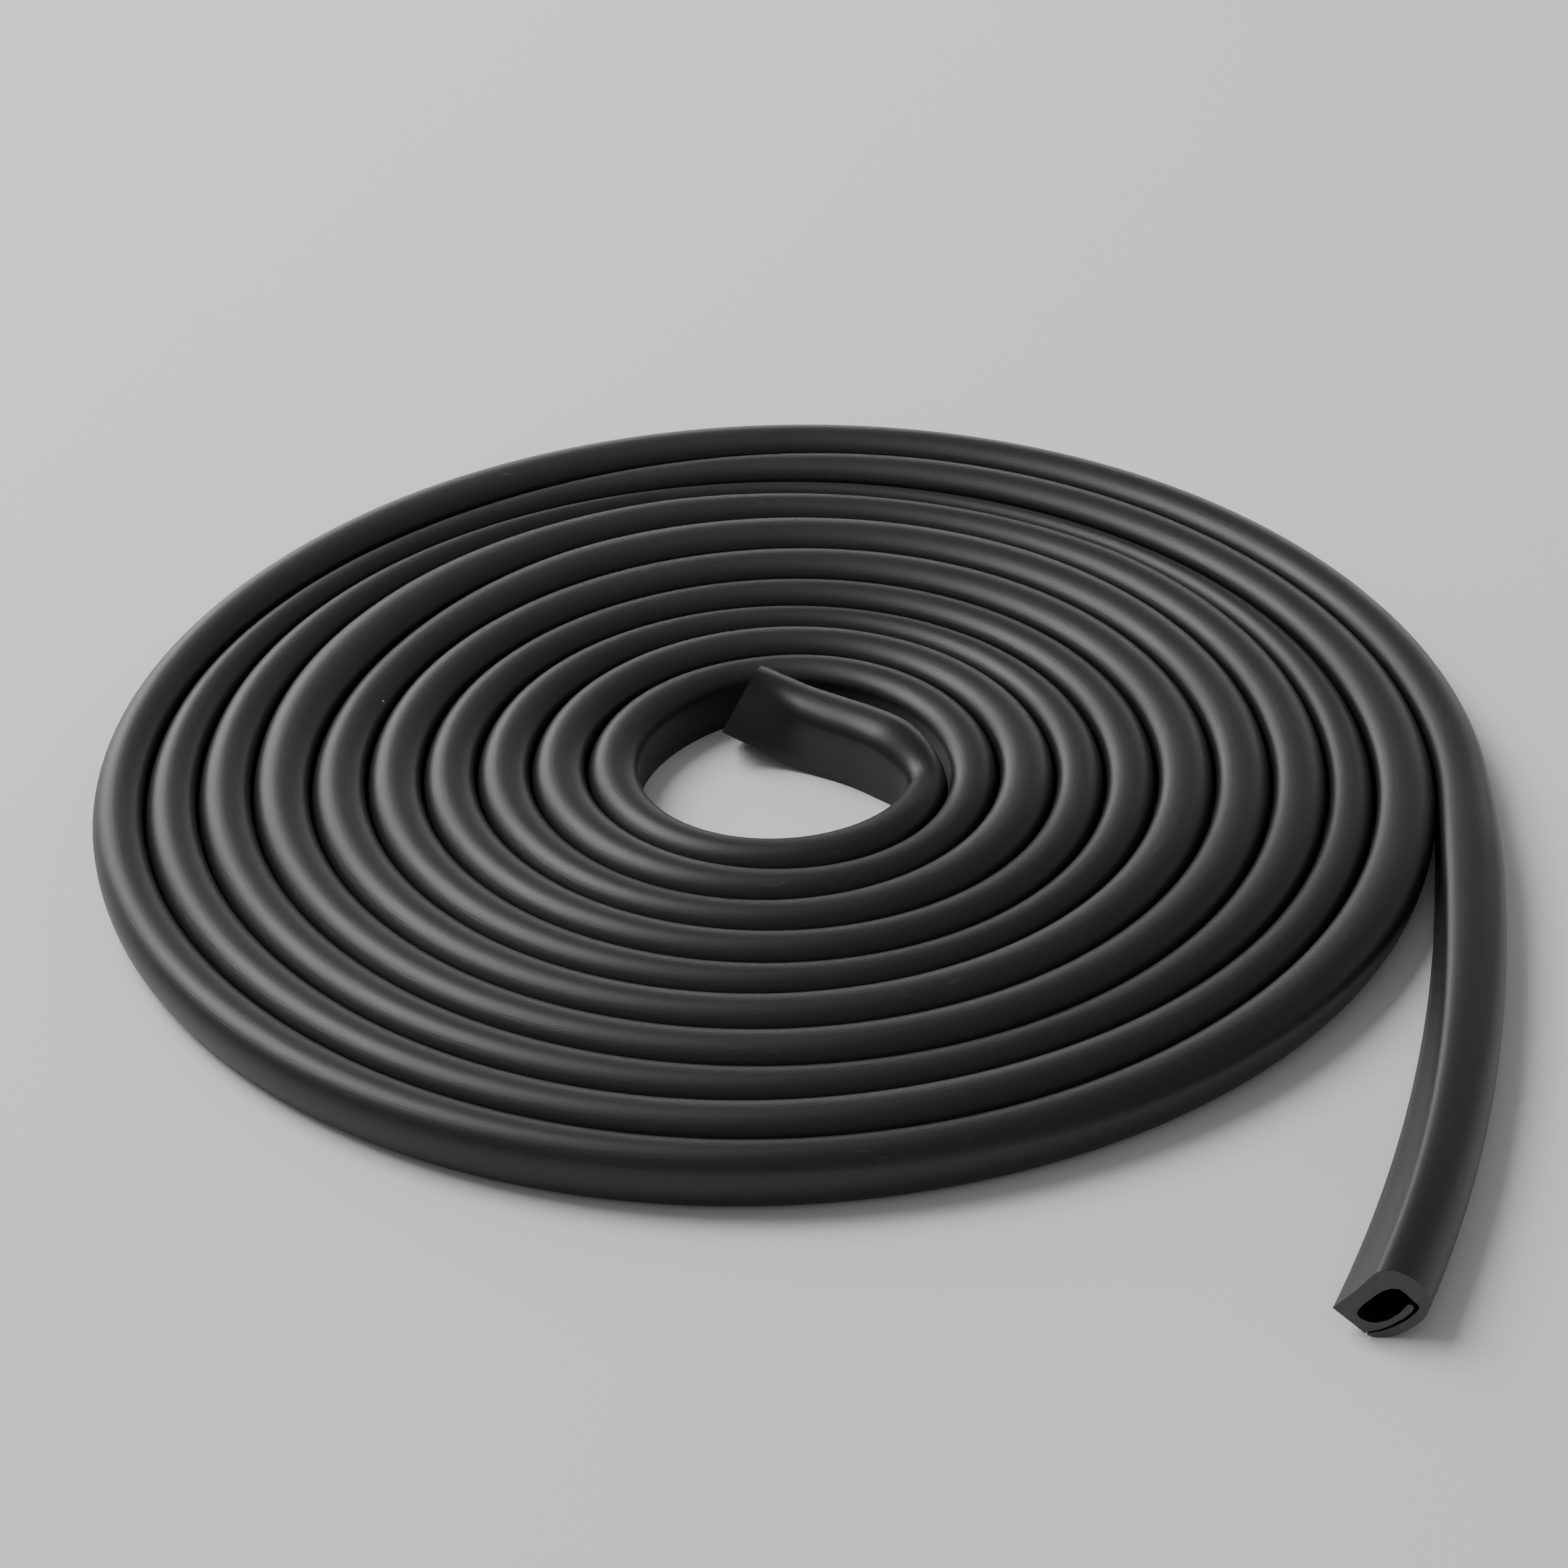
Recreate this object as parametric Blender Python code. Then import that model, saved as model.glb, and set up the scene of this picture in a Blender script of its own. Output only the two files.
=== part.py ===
"""Rubber edge trim: one extruded, slit and hollow strip, wound in a loose flat coil with a free outer end.

Units are metres, +Z is up and the coil lies on z = 0. Seen from above, the strip winds inward
counterclockwise. The origin is on the floor, under the middle of the whole part's bounding box.
"""
import math

import bmesh
import bpy
import numpy as np
from mathutils import Matrix, Vector

# Section of the strip where nothing squeezes it, standing on its base. Its x runs from the inside outward
SECTION_WIDTH = 0.014
SECTION_HEIGHT = 0.0148
INNER_WALL = 0.0034
TOP_WALL = 0.0034
OUTER_WALL = 0.0026
FLAP_THICKNESS = 0.0024
FLAP_TIP_THICKNESS = 0.0008
LIP_TIP_THICKNESS = 0.0012
LIP_RISE = 0.0052
SLIT_WIDTH = 0.0005
TOE_REACH = 0.0054
TOE_RISE = 0.009
CREST_FROM_INSIDE = 0.007
INNER_SHOULDER_DROP = 0.0042
OUTER_SHOULDER_DROP = 0.0058
LEAST_HOLLOW = 0.001

# The flat coil. Turns are counted inward from the place where the free end leaves the coil
PITCH = 0.0126
TURN_GAP = 0.0005
TURNS = 9.96
COIL_RADIUS = 0.1629
OVAL = 0.0013
STATIONS_PER_TURN = 28

# Places where the coil is out of round: (turn, inward push, half span in turns)
DENTS = (
    (-0.92, 0.0012, 0.10),
    (-0.60, 0.0041, 0.13),
    (-0.19, 0.003, 0.11),
    (0.12, 0.002, 0.10),
    (0.35, 0.0056, 0.13),
    (0.86, 0.002, 0.12),
    (1.20, 0.0039, 0.19),
    (1.82, 0.0016, 0.09),
    (2.22, -0.0022, 0.17),
    (3.20, -0.0014, 0.17),
    (3.42, 0.002, 0.08),
    (4.33, 0.0016, 0.17),
    (5.25, 0.0027, 0.20),
    (5.85, -0.002, 0.14),
    (6.22, 0.0023, 0.17),
    (6.86, -0.0032, 0.16),
    (7.82, -0.0034, 0.18),
    (8.85, -0.0052, 0.17),
    (9.28, -0.0017, 0.07),
    (9.92, -0.0066, 0.26),
)
# How far a squeezed strip sinks, for each metre that it is narrower
SQUEEZE_SINK = 0.35

# The free outer end. It springs out of the coil's curve into a gentler one and leans outward as it goes
TAIL_LENGTH = 0.194
TAIL_RADIUS = 0.575
TAIL_KINK = math.radians(3.4)
TAIL_SETTLE = 0.0136
TAIL_LEAN = math.radians(40)
TAIL_CUT_SLOPE = math.radians(6.5)
TAIL_CUT_SKEW = math.radians(18)
TAIL_RELAX = 0.04
TAIL_STATIONS = 13

# The inner end. It springs off its neighbour, leans outward and opens up, and its tip rises off the floor
INNER_END_LENGTH = 0.0608
INNER_END_RADIUS = 0.0565
INNER_END_KINK = math.radians(40.2)
INNER_END_SETTLE = 0.0067
INNER_END_WIDTH = 0.0136
INNER_END_HEIGHT = 0.0174
INNER_END_RELAX = 0.02
INNER_END_LEAN = math.radians(25)
INNER_END_LEAN_LENGTH = 0.03
INNER_END_CUT_SLOPE = math.radians(3.5)
INNER_END_CUT_SKEW = math.radians(-21)
INNER_END_RISE = 0.0046
INNER_END_RISE_LENGTH = 0.0192
INNER_END_STATIONS = 14

RUBBER_COLOUR = (0.016, 0.016, 0.017, 1.0)
RUBBER_ROUGHNESS = 0.55

LEAST_WIDTH = INNER_WALL + OUTER_WALL + LEAST_HOLLOW


def bow(x, z, reach, rise, start, end, steps):
    """Points along part of an ellipse, with its angles in degrees counted from the outward side."""
    angles = [math.radians(start + (end - start) * step / steps) for step in range(steps + 1)]
    return [(x + reach * math.cos(angle), z + rise * math.sin(angle)) for angle in angles]


def section(width, height):
    """Outline of the strip cut square, counterclockwise, with its sharp inner foot at (0, 0)."""
    squeeze = width / SECTION_WIDTH
    crest = CREST_FROM_INSIDE * squeeze
    toe = TOE_REACH * squeeze
    slit = width - toe
    roof = height - TOP_WALL
    hollow_outer = width - OUTER_WALL
    return (
        [(0.0, 0.0), (slit - SLIT_WIDTH / 2, 0.0), (slit - SLIT_WIDTH / 2, FLAP_TIP_THICKNESS)]
        + [(INNER_WALL, FLAP_THICKNESS), (INNER_WALL, roof), (hollow_outer, roof), (hollow_outer, LIP_RISE)]
        + [(slit + SLIT_WIDTH / 2, LIP_TIP_THICKNESS)]
        + bow(slit + SLIT_WIDTH / 2, TOE_RISE, toe - SLIT_WIDTH / 2, TOE_RISE, 270, 360, 3)
        + bow(crest, height - OUTER_SHOULDER_DROP, width - crest, OUTER_SHOULDER_DROP, 30, 90, 2)
        + bow(crest, height - INNER_SHOULDER_DROP, crest, INNER_SHOULDER_DROP, 120, 180, 2)
    )


def ease(value):
    value = min(max(value, 0.0), 1.0)
    return value * value * (3.0 - 2.0 * value)


def inner_gap_radius(turn):
    """Radius of the middle of the gap inside the strip. From turn -1 to 0 it is the coil's own outside."""
    push = sum(depth * math.exp(-((turn - at) / span) ** 2) for at, depth, span in DENTS)
    radius = COIL_RADIUS - PITCH * (turn + 1.0) + OVAL * math.sin(4.0 * math.pi * turn) - push
    if turn < 0.0:
        return radius
    return min(radius, inner_gap_radius(turn - 1.0) - TURN_GAP - LEAST_WIDTH)


def strip_size(turn):
    """Width that the neighbouring turns leave for the strip, and the height that goes with it."""
    width = inner_gap_radius(turn - 1.0) - inner_gap_radius(turn) - TURN_GAP
    return width, SECTION_HEIGHT - SQUEEZE_SINK * max(SECTION_WIDTH - width, 0.0)


def coil_line(turn):
    """Point under the middle of the strip's width, at this many turns in."""
    radius = inner_gap_radius(turn) + TURN_GAP / 2 + strip_size(turn)[0] / 2
    angle = 2.0 * math.pi * turn
    return Vector((radius * math.cos(angle), radius * math.sin(angle), 0.0))


def winding_direction(turn):
    small_step = 0.001
    return (coil_line(turn + small_step) - coil_line(turn - small_step)).normalized()


def outward_of(along):
    return along.cross(Vector((0.0, 0.0, 1.0))).normalized()


def ring(size, middle, along, lean=0.0, cut_slope=0.0, cut_skew=0.0):
    """Points of one section, square to the strip's line, leaning outward and resting on its lowest corner."""
    width, height = size
    outward = outward_of(along)
    upward = outward.cross(along).normalized()
    cos, sin = math.cos(lean), math.sin(lean)
    centred = [(x - width / 2, z) for x, z in section(width, height)]
    turned = [(x * cos + z * sin, z * cos - x * sin) for x, z in centred]
    floor = min(z for _, z in turned)
    slope, skew = math.tan(cut_slope), math.tan(cut_skew)
    heights = [(x, z - floor) for x, z in turned]
    return [middle + outward * x + upward * z + along * (z * slope + x * skew) for x, z in heights]


def eased_size(near, free, share):
    return [a + (b - a) * ease(share) for a, b in zip(near, free)]


def sprung_line(start, onward, inward, length, radius, kink, settle, stations):
    """Distance from the coil, place and direction at each station of an end that springs off it."""
    fine = np.linspace(0.0, length, 40 * stations + 1)
    heading = fine / radius + kink * (1.0 - np.exp(-fine / settle))
    mean_heading = (heading[1:] + heading[:-1]) / 2
    step = length / (len(fine) - 1)
    ahead = np.concatenate(([0.0], np.cumsum(np.cos(mean_heading) * step)))
    aside = np.concatenate(([0.0], np.cumsum(np.sin(mean_heading) * step)))
    line = []
    for station in range(40, len(fine), 40):
        place = start + onward * float(ahead[station]) + inward * float(aside[station])
        direction = onward * math.cos(heading[station]) + inward * math.sin(heading[station])
        line.append((float(fine[station]), place, direction))
    return line


def tail_rings():
    """Sections of the free end, from its cut to the coil."""
    line = sprung_line(
        coil_line(0.0), Vector((0.0, -1.0, 0.0)), Vector((-1.0, 0.0, 0.0)),
        TAIL_LENGTH, TAIL_RADIUS, TAIL_KINK, TAIL_SETTLE, TAIL_STATIONS,
    )
    rings = []
    for distance, place, direction in line:
        size = eased_size(strip_size(0.0), (SECTION_WIDTH, SECTION_HEIGHT), distance / TAIL_RELAX)
        lean = TAIL_LEAN * ease(distance / TAIL_LENGTH)
        rings.append(ring(size, place, -direction, lean))
    rings[-1] = ring(size, place, -direction, lean, TAIL_CUT_SLOPE, TAIL_CUT_SKEW)
    return rings[::-1]


def coil_rings():
    """Sections of the coil, from the free end inward to where the inner end springs off."""
    turns = [index / STATIONS_PER_TURN for index in range(round(TURNS * STATIONS_PER_TURN))] + [TURNS]
    return [ring(strip_size(turn), coil_line(turn), winding_direction(turn)) for turn in turns]


def inner_end_rings():
    """Sections of the inner end, from the coil to its cut."""
    onward = winding_direction(TURNS)
    line = sprung_line(
        coil_line(TURNS), onward, -outward_of(onward),
        INNER_END_LENGTH, INNER_END_RADIUS, INNER_END_KINK, INNER_END_SETTLE, INNER_END_STATIONS,
    )
    rings = []
    for distance, place, direction in line:
        size = eased_size(strip_size(TURNS), (INNER_END_WIDTH, INNER_END_HEIGHT), distance / INNER_END_RELAX)
        into_rise = max((distance - INNER_END_LENGTH) / INNER_END_RISE_LENGTH + 1.0, 0.0)
        lift = Vector((0.0, 0.0, INNER_END_RISE * into_rise ** 2))
        slope = 2.0 * INNER_END_RISE * into_rise / INNER_END_RISE_LENGTH
        along = (direction + Vector((0.0, 0.0, slope))).normalized()
        lean = INNER_END_LEAN * ease((distance - INNER_END_LENGTH) / INNER_END_LEAN_LENGTH + 1.0)
        rings.append(ring(size, place + lift, along, lean))
    rings[-1] = ring(size, place + lift, along, lean, INNER_END_CUT_SLOPE, INNER_END_CUT_SKEW)
    return rings


def sweep(rings):
    """One closed body through rings of like points, with flat cut ends."""
    bm = bmesh.new()
    verts = [bm.verts.new(point) for point in rings[0]]
    bm.faces.new(verts)
    for points in rings[1:]:
        edges = [bm.edges.get((verts[i - 1], verts[i])) for i in range(len(verts))]
        made = bmesh.ops.extrude_edge_only(bm, edges=edges)["geom"]
        new_verts = {item for item in made if isinstance(item, bmesh.types.BMVert)}
        follows = {edge.other_vert(vert): vert for vert in new_verts for edge in vert.link_edges}
        verts = [follows[vert] for vert in verts]
        for vert, point in zip(verts, points):
            vert.co = point
    bm.faces.new(reversed(verts))
    bmesh.ops.recalc_face_normals(bm, faces=bm.faces)
    return bm


def black_rubber():
    material = bpy.data.materials.new("black_rubber")
    material.use_nodes = True
    shader = material.node_tree.nodes["Principled BSDF"]
    shader.inputs["Base Color"].default_value = RUBBER_COLOUR
    shader.inputs["Roughness"].default_value = RUBBER_ROUGHNESS
    shader.inputs["Metallic"].default_value = 0.0
    return material


def edge_trim():
    bm = sweep(tail_rings() + coil_rings() + inner_end_rings())
    mesh = bpy.data.meshes.new("edge_trim")
    bm.to_mesh(mesh)
    bm.free()
    points = np.array([vert.co for vert in mesh.vertices])
    low, high = points.min(axis=0), points.max(axis=0)
    mesh.transform(Matrix.Translation((-(low[0] + high[0]) / 2, -(low[1] + high[1]) / 2, -low[2])))
    mesh.materials.append(black_rubber())
    part = bpy.data.objects.new("edge_trim", mesh)
    bpy.context.scene.collection.objects.link(part)
    return part


def main():
    for old in list(bpy.data.objects):
        bpy.data.objects.remove(old, do_unlink=True)
    edge_trim()


main()
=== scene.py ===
import math

import bmesh
import bpy
import numpy as np
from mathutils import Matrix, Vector


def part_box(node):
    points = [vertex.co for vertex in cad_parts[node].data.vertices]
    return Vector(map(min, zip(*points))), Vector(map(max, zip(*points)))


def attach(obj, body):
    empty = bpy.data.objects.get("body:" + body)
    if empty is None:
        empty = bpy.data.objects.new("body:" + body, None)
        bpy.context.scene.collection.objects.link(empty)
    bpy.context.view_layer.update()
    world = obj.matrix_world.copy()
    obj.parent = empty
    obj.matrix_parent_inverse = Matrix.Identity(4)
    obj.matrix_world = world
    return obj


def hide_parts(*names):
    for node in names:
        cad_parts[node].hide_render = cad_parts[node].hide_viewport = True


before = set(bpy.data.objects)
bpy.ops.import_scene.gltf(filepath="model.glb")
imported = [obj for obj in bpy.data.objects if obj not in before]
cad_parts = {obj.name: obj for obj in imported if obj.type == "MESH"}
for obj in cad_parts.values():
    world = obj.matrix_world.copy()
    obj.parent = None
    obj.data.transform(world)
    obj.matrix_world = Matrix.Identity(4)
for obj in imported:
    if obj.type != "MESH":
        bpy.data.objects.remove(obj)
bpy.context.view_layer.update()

MM = 0.001

# Section of the strip where nothing squeezes it, standing on its base, with x from the coil's inside outward
SECTION_WIDTH = 14.0 * MM
SECTION_HEIGHT = 14.8 * MM
INNER_WALL = 3.4 * MM
OUTER_WALL = 2.6 * MM
TOE_REACH = 5.4 * MM
TOE_RISE = 9.0 * MM
CREST_FROM_INSIDE = 7.0 * MM
INNER_SHOULDER_DROP = 4.2 * MM
OUTER_SHOULDER_DROP = 5.8 * MM
FOOT_ROUND = 0.25 * MM
WALL_WAIST = 0.3 * MM
LEAST_HOLLOW = 1.0 * MM
LEAST_WIDTH = INNER_WALL + OUTER_WALL + LEAST_HOLLOW

# The flat coil. Turns are counted inward from the place where the free end leaves the coil
PITCH = 12.6 * MM
TURN_GAP = 0.5 * MM
TURNS = 9.96
COIL_RADIUS = 162.9 * MM
OVAL = 1.3 * MM
STATION_STEP = 5.0 * MM
STATION_TURN_STEP = 1 / 80

# Places where the coil is out of round: (turn, inward push, half span in turns)
DENTS = (
    (-0.92, 1.2 * MM, 0.10),
    (-0.60, 4.1 * MM, 0.13),
    (-0.19, 3.0 * MM, 0.11),
    (0.12, 2.0 * MM, 0.10),
    (0.35, 5.6 * MM, 0.13),
    (0.86, 2.0 * MM, 0.12),
    (1.20, 3.9 * MM, 0.19),
    (1.82, 1.6 * MM, 0.09),
    (2.22, -2.2 * MM, 0.17),
    (3.20, -1.4 * MM, 0.17),
    (3.42, 2.0 * MM, 0.08),
    (4.33, 1.6 * MM, 0.17),
    (5.25, 2.7 * MM, 0.20),
    (5.85, -2.0 * MM, 0.14),
    (6.22, 2.3 * MM, 0.17),
    (6.86, -3.2 * MM, 0.16),
    (7.82, -3.4 * MM, 0.18),
    (8.85, -5.2 * MM, 0.17),
    (9.28, -1.7 * MM, 0.07),
    (9.92, -6.6 * MM, 0.26),
)
# How far a squeezed strip sinks, for each metre that it is narrower
SQUEEZE_SINK = 0.35

# The free outer end. It springs out of the coil's curve into a gentler one and leans outward as it goes
TAIL_LENGTH = 194 * MM
TAIL_RADIUS = 575 * MM
TAIL_KINK = math.radians(3.4)
TAIL_SETTLE = 13.6 * MM
TAIL_LEAN = math.radians(40)
TAIL_CUT_SLOPE = math.radians(6.5)
TAIL_CUT_SKEW = math.radians(18)
TAIL_RELAX = 40 * MM
TAIL_STATIONS = 39

# The inner end. It springs off its neighbour, leans outward and opens up, and its tip rises off the floor
INNER_END_LENGTH = 60.8 * MM
INNER_END_RADIUS = 56.5 * MM
INNER_END_KINK = math.radians(40.2)
INNER_END_SETTLE = 6.7 * MM
INNER_END_WIDTH = 13.6 * MM
INNER_END_HEIGHT = 17.4 * MM
INNER_END_RELAX = 20 * MM
INNER_END_LEAN = math.radians(25)
INNER_END_LEAN_LENGTH = 30 * MM
INNER_END_CUT_SLOPE = math.radians(3.5)
INNER_END_CUT_SKEW = math.radians(-21)
INNER_END_RISE = 4.6 * MM
INNER_END_RISE_LENGTH = 19.2 * MM
INNER_END_STATIONS = 36

# Lengths over which the skew of each cut fades in, and the fine steps between two stations of a sprung end
TAIL_CUT_FADE = 3 * STATION_STEP
INNER_END_CUT_FADE = 1.5 * STATION_STEP
FINE_STEPS = 40

MERGE_DISTANCE = 1e-7
SHARP_ANGLE = math.radians(50)

# Camera, from the photograph: it looks down on the coil from in front
UNIT = 13.09 * MM
CAMERA_TILT = math.radians(33.19)
CAMERA_DISTANCE = 78.65 * UNIT
CAMERA_LENS = 102.5
SENSOR_WIDTH = 36.0
AIM_FROM_COIL = Vector((0.136 * UNIT, 0.591 * UNIT, 0.0))

# Soft panels around the coil: (name, azimuth from the back to the right, elevation, distance, size, radiance)
PANELS = (
    ("key_low", -34, 14, 3.0, (1.5, 1.2), 4.0),
    ("key_high", -62, 50, 2.5, (1.5, 1.5), 8.5),
    ("back", 6, 4, 3.0, (3.2, 0.7), 2.4),
    ("right", 70, 10, 3.0, (1.6, 0.8), 0.6),
    ("front", 180, 3, 3.0, (3.0, 0.5), 1.2),
)
AMBIENT = 0.28
FLOOR_HALF_SIZE = 6.0

# Dust specks on the rubber: how dense their cells are, how big a speck is in its cell, and how few cells
# have one
SPECK_CELLS = 150.0
SPECK_RADIUS = 0.055
SPECK_PICK = 0.93


class Socket:
    """A shader value that can be used in Python expressions."""

    def __init__(self, finish, output):
        self.finish = finish
        self.output = output

    def maths(self, operation, *others):
        return self.finish.node("ShaderNodeMath", {"operation": operation}, self, *others)

    def __add__(self, other):
        return self.maths("ADD", other)

    __radd__ = __add__

    def __mul__(self, other):
        return self.maths("MULTIPLY", other)

    __rmul__ = __mul__

    def __gt__(self, other):
        return self.maths("GREATER_THAN", other)

    def __lt__(self, other):
        return self.maths("LESS_THAN", other)


class Finish:
    """A material that is made one node at a time."""

    def __init__(self, name):
        self.material = bpy.data.materials.new(name)
        self.material.use_nodes = True
        self.tree = self.material.node_tree
        self.shader = self.tree.nodes["Principled BSDF"]

    def node(self, kind, settings, *inputs, output=0, **named):
        made = self.tree.nodes.new(kind)
        for key, value in settings.items():
            if key == "stops":
                self.set_stops(made.color_ramp, value)
            else:
                setattr(made, key, value)
        for key, value in list(enumerate(inputs)) + list(named.items()):
            if value is not None:
                self.put(made.inputs[key], value)
        return Socket(self, made.outputs[output])

    def mix(self, share, near, far):
        """Colour that goes from near to far as the share goes from 0 to 1."""
        mixed = self.node("ShaderNodeMix", {"data_type": "RGBA"}, share, output=2)
        inputs = mixed.output.node.inputs
        self.put(inputs[6], near)
        self.put(inputs[7], far)
        return mixed

    def noise(self, place, scale, **settings):
        return self.node("ShaderNodeTexNoise", {}, Vector=place, Scale=scale, **settings)

    def ramp(self, value, low, high):
        """0 up to low, 1 from high on, and a straight rise between them."""
        return self.node("ShaderNodeValToRGB", {"stops": ((low, 0.0), (high, 1.0))}, value)

    def stretched(self, place, scale):
        return self.node("ShaderNodeMapping", {}, Vector=place, Scale=scale)

    def set_stops(self, ramp, stops):
        while len(ramp.elements) < len(stops):
            ramp.elements.new(1.0)
        for element, (position, value) in zip(ramp.elements, stops):
            element.position = position
            element.color = (value, value, value, 1.0)

    def put(self, target, value):
        if isinstance(value, Socket):
            self.tree.links.new(value.output, target)
        else:
            target.default_value = value

    def set(self, **values):
        for name, value in values.items():
            self.put(self.shader.inputs[name.replace("_", " ")], value)


def grey(value, tint=1.03):
    """A grey whose blue is this many times its red."""
    return (value, value * (1 + tint) / 2, value * tint, 1.0)


def rubber():
    """Satin black rubber, with the drawn streaks of its extrusion, light scuffs and a few specks of dust."""
    finish = Finish("black_rubber")
    along = finish.node("ShaderNodeUVMap", {"uv_map": "strip"})
    drawn = finish.stretched(along, (0.06, 1.0, 1.0))
    rubbed = finish.stretched(along, (0.3, 1.0, 1.0))

    bloom = finish.noise(along, 28.0, Detail=3.0, Roughness=0.55)
    streaks = finish.noise(drawn, 900.0, Detail=3.0, Roughness=0.6)
    fine_lines = finish.noise(drawn, 3200.0, Detail=1.0)
    grain = finish.noise(along, 2600.0, Detail=2.0)
    scuffs = finish.noise(rubbed, 420.0, Detail=5.0, Roughness=0.7)
    patches = finish.noise(along, 60.0, Detail=2.0)
    worn = finish.ramp(scuffs, 0.60, 0.74) * finish.ramp(patches, 0.48, 0.66)

    cells = finish.node("ShaderNodeTexVoronoi", {}, Vector=along, Scale=SPECK_CELLS)
    pick = finish.node("ShaderNodeTexVoronoi", {}, Vector=along, Scale=SPECK_CELLS, output=1)
    speck = (cells < SPECK_RADIUS) * (pick > SPECK_PICK)

    clean = finish.mix(bloom, grey(0.006), grey(0.010))
    scuffed = finish.mix(worn * 0.5, clean, grey(0.075))
    dusty = finish.mix(speck, scuffed, grey(0.42, 0.98))
    height = streaks * 0.5 + fine_lines * 0.4 + grain * 0.3
    bump = finish.node("ShaderNodeBump", {}, Strength=0.22, Distance=0.0003, Height=height)
    roughness = 0.36 + bloom * 0.10 + streaks * 0.05 + worn * 0.12
    finish.set(Base_Color=dusty, Roughness=roughness, Normal=bump)
    finish.shader.inputs["Specular IOR Level"].default_value = 0.5
    return finish.material


def cut_rubber():
    """The sawn face of the rubber: matte, a little greyer, with fine knife marks."""
    finish = Finish("cut_rubber")
    place = finish.node("ShaderNodeTexCoord", {}, output=3)
    cloud = finish.noise(place, 600.0, Detail=4.0)
    ridges = finish.noise(finish.stretched(place, (1.0, 1.0, 6.0)), 700.0, Detail=2.0)
    tone = finish.mix(cloud, grey(0.050), grey(0.085))
    bump = finish.node("ShaderNodeBump", {}, Strength=0.25, Distance=0.0003, Height=ridges)
    finish.set(Base_Color=tone, Roughness=0.62 + cloud * 0.12, Normal=bump)
    return finish.material


def paper():
    """The matte pale floor."""
    finish = Finish("pale_floor")
    place = finish.node("ShaderNodeTexCoord", {}, output=3)
    cloud = finish.noise(place, 3.0, Detail=2.0)
    finish.set(Base_Color=finish.mix(cloud, grey(0.86, 1.0), grey(0.89, 1.0)), Roughness=0.9)
    return finish.material


def bow(x, z, reach, rise, start, end, steps):
    """Points along part of an ellipse, with its angles in degrees counted from the outward side."""
    angles = [math.radians(start + (end - start) * step / steps) for step in range(steps + 1)]
    return [(x + reach * math.cos(angle), z + rise * math.sin(angle)) for angle in angles]


def relaxed_section():
    """Outline of the strip cut square, counterclockwise, with its sharp inner foot at (0, 0).

    The base runs out to the slit and turns up inside the hollow as a tongue. The outer wall ends in a lip
    over it.
    """
    slit = SECTION_WIDTH - TOE_REACH
    reach = SECTION_WIDTH - CREST_FROM_INSIDE
    outer_shoulder = SECTION_HEIGHT - OUTER_SHOULDER_DROP
    inner_shoulder = SECTION_HEIGHT - INNER_SHOULDER_DROP
    tongue_outside = [
        (8.5, 0.0), (8.8, 0.8), (10.0, 2.7), (10.7, 4.8), (11.2, 7.4), (11.2, 9.2), (10.9, 10.1)
    ]
    tongue_inside = [
        (10.2, 10.5), (9.5, 10.1), (9.6, 9.0), (9.8, 7.6), (9.4, 5.0), (8.4, 3.2), (7.2, 2.3), (5.4, 1.8)
    ]
    hollow = [
        (4.2, 2.1), (3.7, 3.2), (3.6, 5.0), (3.7, 7.3), (4.0, 9.2), (4.7, 10.6), (5.8, 11.4), (7.5, 11.5)
    ]
    outer_wall = [
        (9.2, 11.3), (10.8, 11.3), (11.6, 10.9), (11.9, 9.6), (11.9, 7.4), (11.3, 4.8), (10.5, 2.7)
    ]
    lip = [(9.4, 1.0), (8.8, 0.3)]
    inside = tongue_outside + tongue_inside + hollow + outer_wall + lip
    return (
        bow(FOOT_ROUND, FOOT_ROUND, FOOT_ROUND, FOOT_ROUND, 180, 270, 2)
        + [(x * MM, z * MM) for x, z in inside]
        + bow(slit, TOE_RISE, TOE_REACH, TOE_RISE, 276, 360, 9)
        + bow(CREST_FROM_INSIDE, outer_shoulder, reach, OUTER_SHOULDER_DROP, 6, 90, 11)[:-1]
        + bow(CREST_FROM_INSIDE, inner_shoulder, CREST_FROM_INSIDE, INNER_SHOULDER_DROP, 90, 180, 9)
        + [(WALL_WAIST * 0.8, 7.4 * MM), (WALL_WAIST, 5.3 * MM), (WALL_WAIST * 0.6, 2.7 * MM)]
    )


RELAXED_SECTION = relaxed_section()


def section(width, height):
    """The relaxed outline, squeezed to this width and height."""
    return [(x * width / SECTION_WIDTH, z * height / SECTION_HEIGHT) for x, z in RELAXED_SECTION]


def ease(value):
    """0 below 0, 1 above 1, and a smooth rise between them."""
    value = min(max(value, 0.0), 1.0)
    return value * value * (3.0 - 2.0 * value)


def inner_gap_radius(turn):
    """Radius of the middle of the gap inside the strip. From turn -1 to 0 it is the coil's own outside."""
    push = sum(depth * math.exp(-((turn - at) / span) ** 2) for at, depth, span in DENTS)
    radius = COIL_RADIUS - PITCH * (turn + 1.0) + OVAL * math.sin(4.0 * math.pi * turn) - push
    if turn < 0.0:
        return radius
    return min(radius, inner_gap_radius(turn - 1.0) - TURN_GAP - LEAST_WIDTH)


def strip_size(turn):
    """Width that the neighbouring turns leave for the strip, and the height that goes with it."""
    width = inner_gap_radius(turn - 1.0) - inner_gap_radius(turn) - TURN_GAP
    return width, SECTION_HEIGHT - SQUEEZE_SINK * max(SECTION_WIDTH - width, 0.0)


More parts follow.
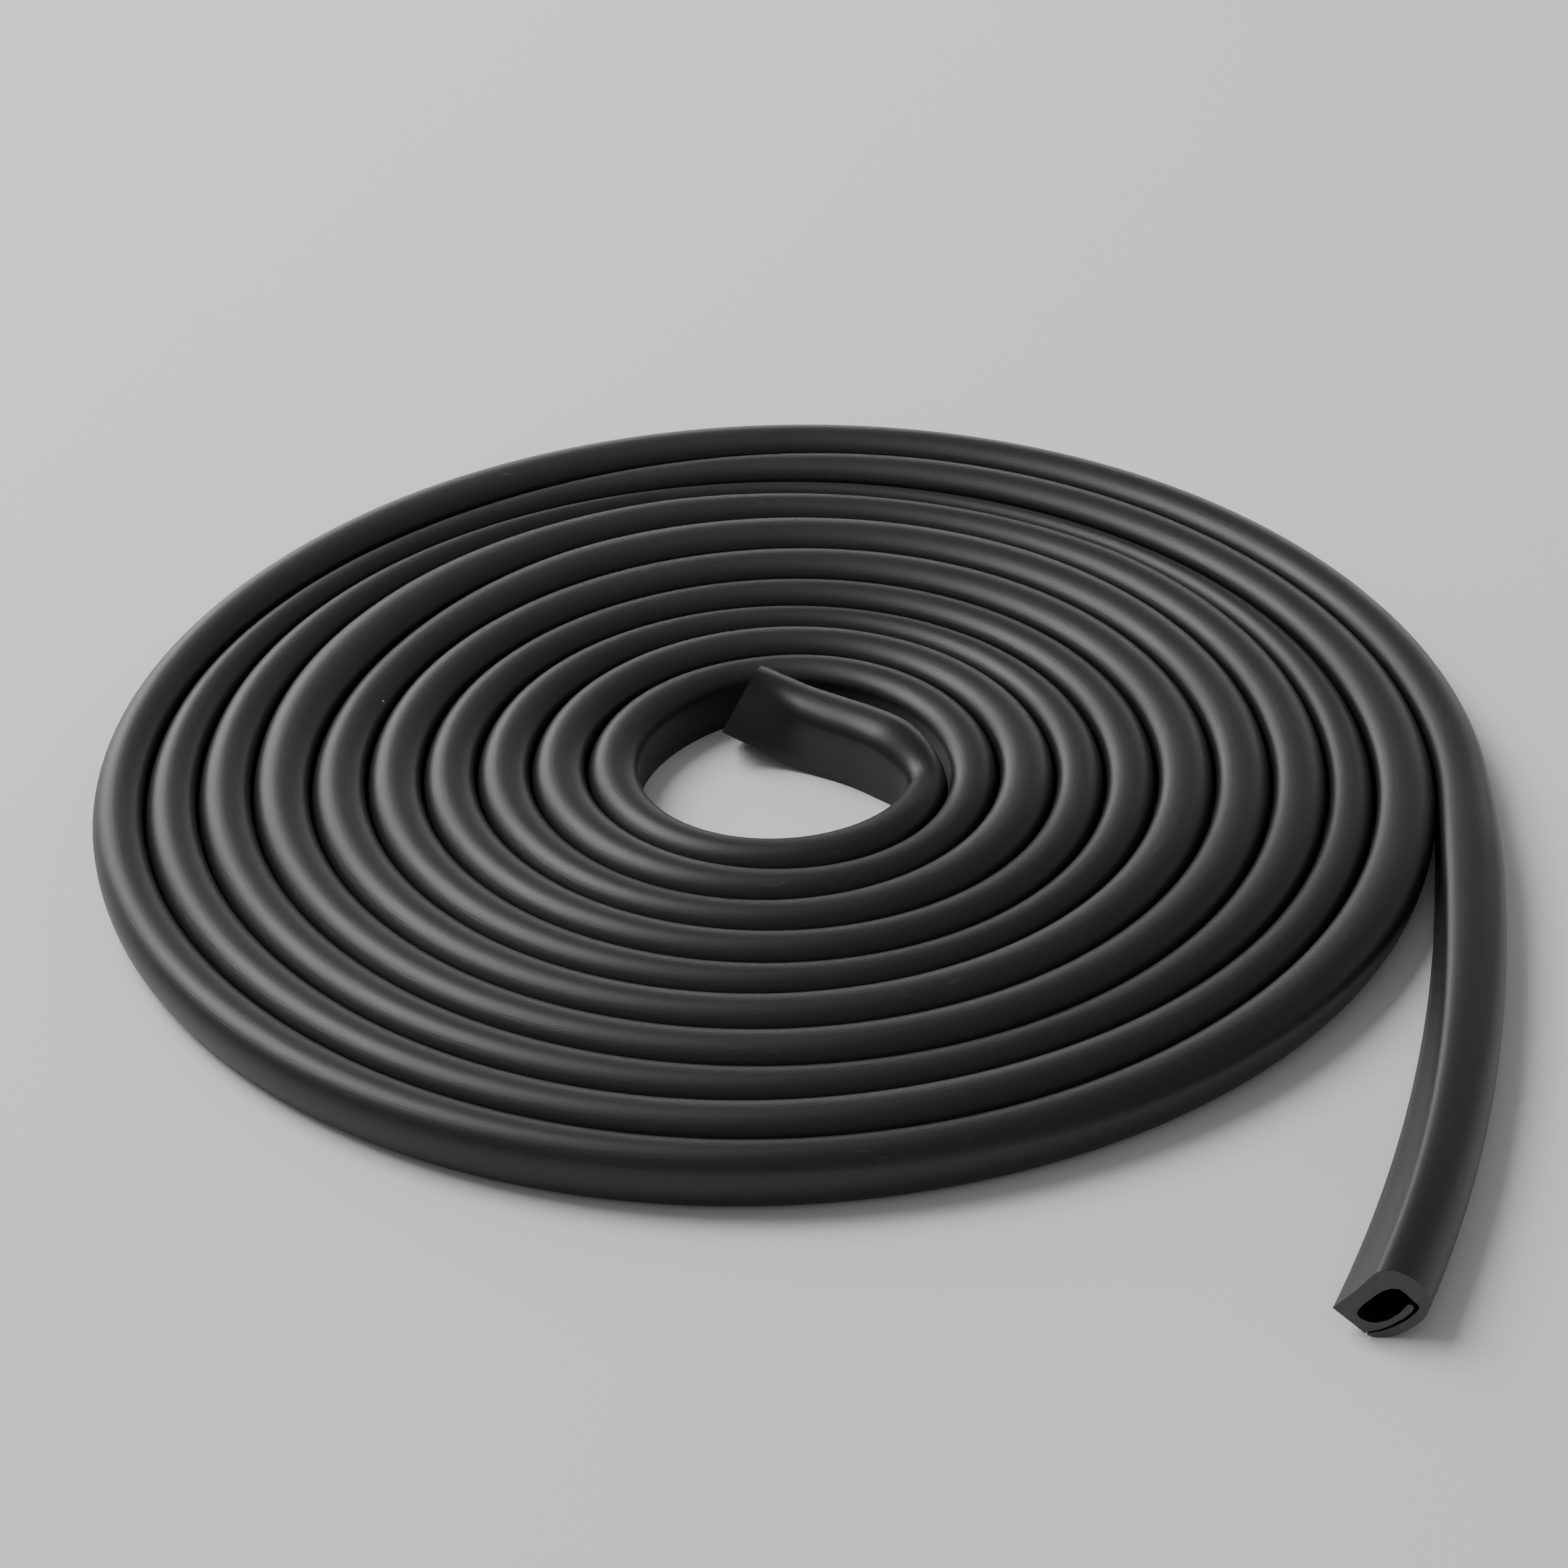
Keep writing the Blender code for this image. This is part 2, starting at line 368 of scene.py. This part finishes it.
def coil_line(turn):
    """Point under the middle of the strip's width, at this many turns in."""
    radius = inner_gap_radius(turn) + TURN_GAP / 2 + strip_size(turn)[0] / 2
    angle = 2.0 * math.pi * turn
    return Vector((radius * math.cos(angle), radius * math.sin(angle), 0.0))


def winding_direction(turn):
    """Direction in which the strip runs inward at this many turns in."""
    small_step = 0.001
    return (coil_line(turn + small_step) - coil_line(turn - small_step)).normalized()


def outward_of(along):
    """Level direction square to the strip, to its outer side."""
    return along.cross(Vector((0.0, 0.0, 1.0))).normalized()


def ring(size, middle, along, lean=0.0, cut_slope=0.0, cut_skew=0.0):
    """Points of one section, square to the strip's line, leaning outward and resting on its lowest corner."""
    width, height = size
    outward = outward_of(along)
    upward = outward.cross(along).normalized()
    cos, sin = math.cos(lean), math.sin(lean)
    centred = [(x - width / 2, z) for x, z in section(width, height)]
    turned = [(x * cos + z * sin, z * cos - x * sin) for x, z in centred]
    lowest = min(z for _, z in turned)
    slope, skew = math.tan(cut_slope), math.tan(cut_skew)
    return [
        middle + outward * x + upward * (z - lowest) + along * ((z - lowest) * slope + x * skew)
        for x, z in turned
    ]


def eased_size(near, free, share):
    """Width and height on the way from the coil's own to those of a free end."""
    return [a + (b - a) * ease(share) for a, b in zip(near, free)]


def sprung_line(start, onward, inward, length, radius, kink, settle, stations):
    """Distance from the coil, place and direction at each station of an end that springs off it."""
    fine = np.linspace(0.0, length, FINE_STEPS * stations + 1)
    heading = fine / radius + kink * (1.0 - np.exp(-fine / settle))
    mean_heading = (heading[1:] + heading[:-1]) / 2
    step = length / (len(fine) - 1)
    ahead = np.concatenate(([0.0], np.cumsum(np.cos(mean_heading) * step)))
    aside = np.concatenate(([0.0], np.cumsum(np.sin(mean_heading) * step)))
    line = []
    for station in range(FINE_STEPS, len(fine), FINE_STEPS):
        place = start + onward * float(ahead[station]) + inward * float(aside[station])
        direction = onward * math.cos(heading[station]) + inward * math.sin(heading[station])
        line.append((float(fine[station]), place, direction))
    return line


def tail_rings():
    """Sections of the free end, from its cut to the coil."""
    line = sprung_line(
        coil_line(0.0), Vector((0.0, -1.0, 0.0)), Vector((-1.0, 0.0, 0.0)),
        TAIL_LENGTH, TAIL_RADIUS, TAIL_KINK, TAIL_SETTLE, TAIL_STATIONS,
    )
    rings = []
    for distance, place, direction in line:
        size = eased_size(strip_size(0.0), (SECTION_WIDTH, SECTION_HEIGHT), distance / TAIL_RELAX)
        lean = TAIL_LEAN * ease(distance / TAIL_LENGTH)
        into_cut = max((distance - TAIL_LENGTH) / TAIL_CUT_FADE + 1.0, 0.0)
        rings.append(ring(size, place, -direction, lean, TAIL_CUT_SLOPE * into_cut, TAIL_CUT_SKEW * into_cut))
    return rings[::-1]


def coil_rings():
    """Sections of the coil, from the free end inward to where the inner end springs off."""
    turns = [0.0]
    while turns[-1] < TURNS:
        around = 2.0 * math.pi * coil_line(turns[-1]).length
        turns.append(turns[-1] + min(STATION_STEP / around, STATION_TURN_STEP))
    turns[-1] = TURNS
    return [ring(strip_size(turn), coil_line(turn), winding_direction(turn)) for turn in turns]


def inner_end_rings():
    """Sections of the inner end, from the coil to its cut."""
    onward = winding_direction(TURNS)
    line = sprung_line(
        coil_line(TURNS), onward, -outward_of(onward),
        INNER_END_LENGTH, INNER_END_RADIUS, INNER_END_KINK, INNER_END_SETTLE, INNER_END_STATIONS,
    )
    rings = []
    for distance, place, direction in line:
        size = eased_size(strip_size(TURNS), (INNER_END_WIDTH, INNER_END_HEIGHT), distance / INNER_END_RELAX)
        into_rise = max((distance - INNER_END_LENGTH) / INNER_END_RISE_LENGTH + 1.0, 0.0)
        lift = Vector((0.0, 0.0, INNER_END_RISE * into_rise ** 2))
        slope = 2.0 * INNER_END_RISE * into_rise / INNER_END_RISE_LENGTH
        along = (direction + Vector((0.0, 0.0, slope))).normalized()
        lean = INNER_END_LEAN * ease((distance - INNER_END_LENGTH) / INNER_END_LEAN_LENGTH + 1.0)
        into_cut = max((distance - INNER_END_LENGTH) / INNER_END_CUT_FADE + 1.0, 0.0)
        cut = (INNER_END_CUT_SLOPE * into_cut, INNER_END_CUT_SKEW * into_cut)
        rings.append(ring(size, place + lift, along, lean, *cut))
    return rings


def running_lengths(points):
    """Distance of each point from the first one, along the line that joins them."""
    lengths = [0.0]
    for here, there in zip(points, points[1:]):
        lengths.append(lengths[-1] + (there - here).length)
    return lengths


def sweep(name, rings):
    """One closed body through rings of like points.

    A grid is rolled up along the strip, then its two ends are filled as cut faces.
    """
    around, count = len(rings[0]), len(rings)
    bm = bmesh.new()
    bmesh.ops.create_grid(bm, x_segments=around, y_segments=count - 1, size=1.0, calc_uvs=True)
    layer = bm.loops.layers.uv.verify()
    lengths = running_lengths([sum(ring_points, Vector()) / around for ring_points in rings])
    middle_ring = rings[count // 2]
    girths = running_lengths(middle_ring + middle_ring[:1])
    for index, vert in enumerate(bm.verts):
        row, column = divmod(index, around + 1)
        vert.co = rings[row][column % around]
    for face in bm.faces:
        for loop in face.loops:
            row, column = divmod(loop.vert.index, around + 1)
            loop[layer].uv = (lengths[row], girths[column])
    bmesh.ops.remove_doubles(bm, verts=bm.verts, dist=MERGE_DISTANCE)
    open_edges = [edge for edge in bm.edges if edge.is_boundary]
    cuts = bmesh.ops.holes_fill(bm, edges=open_edges, sides=0)["faces"]
    for cut in cuts:
        cut.material_index = 1
    bmesh.ops.triangulate(bm, faces=cuts)
    bmesh.ops.recalc_face_normals(bm, faces=bm.faces)
    for face in bm.faces:
        face.smooth = face.material_index == 0
    mesh = bpy.data.meshes.new(name)
    bm.to_mesh(mesh)
    bm.free()
    mesh.uv_layers[0].name = "strip"
    mesh.set_sharp_from_angle(angle=SHARP_ANGLE)
    return mesh


def edge_trim():
    """The whole strip, fitted into the CAD strip's box, because its closer stations reach a little further.

    It returns the place of the coil's middle on the floor.
    """
    mesh = sweep("trim_strip", tail_rings() + coil_rings() + inner_end_rings())
    points = np.array([vert.co for vert in mesh.vertices])
    low, high = points.min(axis=0), points.max(axis=0)
    cad_low, cad_high = (np.array(corner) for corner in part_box("edge_trim"))
    fit = np.minimum((cad_high - cad_low) / (high - low), 1.0)
    shift = (cad_low + cad_high - (low + high) * fit) / 2
    shift[2] = cad_low[2] - low[2] * fit[2]
    for vert, place in zip(mesh.vertices, points * fit + shift):
        vert.co = place
    mesh.materials.append(rubber())
    mesh.materials.append(cut_rubber())
    strip = bpy.data.objects.new("trim_strip", mesh)
    bpy.context.scene.collection.objects.link(strip)
    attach(strip, "root")
    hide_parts("edge_trim")
    return Vector((shift[0], shift[1], 0.0))


def floor():
    bm = bmesh.new()
    bmesh.ops.create_grid(bm, x_segments=1, y_segments=1, size=FLOOR_HALF_SIZE)
    mesh = bpy.data.meshes.new("floor")
    bm.to_mesh(mesh)
    bm.free()
    mesh.materials.append(paper())
    plane = bpy.data.objects.new("floor", mesh)
    bpy.context.scene.collection.objects.link(plane)


def softbox(name, place, aim, size, power):
    """A soft rectangular lamp that faces its aim."""
    light = bpy.data.lights.new(name, "AREA")
    light.shape = "RECTANGLE"
    light.size, light.size_y = size
    light.energy = power
    lamp = bpy.data.objects.new(name, light)
    lamp.location = place
    lamp.rotation_euler = (Vector(aim) - Vector(place)).to_track_quat("-Z", "Y").to_euler()
    bpy.context.scene.collection.objects.link(lamp)


def panel(name, centre, azimuth, elevation, distance, size, radiance):
    """A soft panel seen from the coil at this angle, with the azimuth counted from the back to the right."""
    across, up = math.radians(azimuth), math.radians(elevation)
    away = Vector((math.sin(across) * math.cos(up), math.cos(across) * math.cos(up), math.sin(up)))
    softbox(name, centre + away * distance, centre, size, radiance * math.pi * size[0] * size[1])


def studio(centre):
    """Even white light from all round, with the soft panels over it."""
    world = bpy.data.worlds.new("studio")
    bpy.context.scene.world = world
    world.use_nodes = True
    background = world.node_tree.nodes["Background"]
    background.inputs["Color"].default_value = (1.0, 1.0, 1.0, 1.0)
    background.inputs["Strength"].default_value = AMBIENT
    for name, *setting in PANELS:
        panel(name, centre, *setting)


def camera(coil_centre):
    """The photograph's view, aimed a little behind the middle of the coil."""
    aim = coil_centre + AIM_FROM_COIL
    data = bpy.data.cameras.new("camera")
    data.lens = CAMERA_LENS
    data.sensor_width = SENSOR_WIDTH
    eye = bpy.data.objects.new("camera", data)
    eye.location = aim + Vector((0.0, -math.cos(CAMERA_TILT), math.sin(CAMERA_TILT))) * CAMERA_DISTANCE
    eye.rotation_euler = (math.pi / 2 - CAMERA_TILT, 0.0, 0.0)
    bpy.context.scene.collection.objects.link(eye)
    bpy.context.scene.camera = eye


coil_centre = edge_trim()
floor()
studio(coil_centre)
camera(coil_centre)
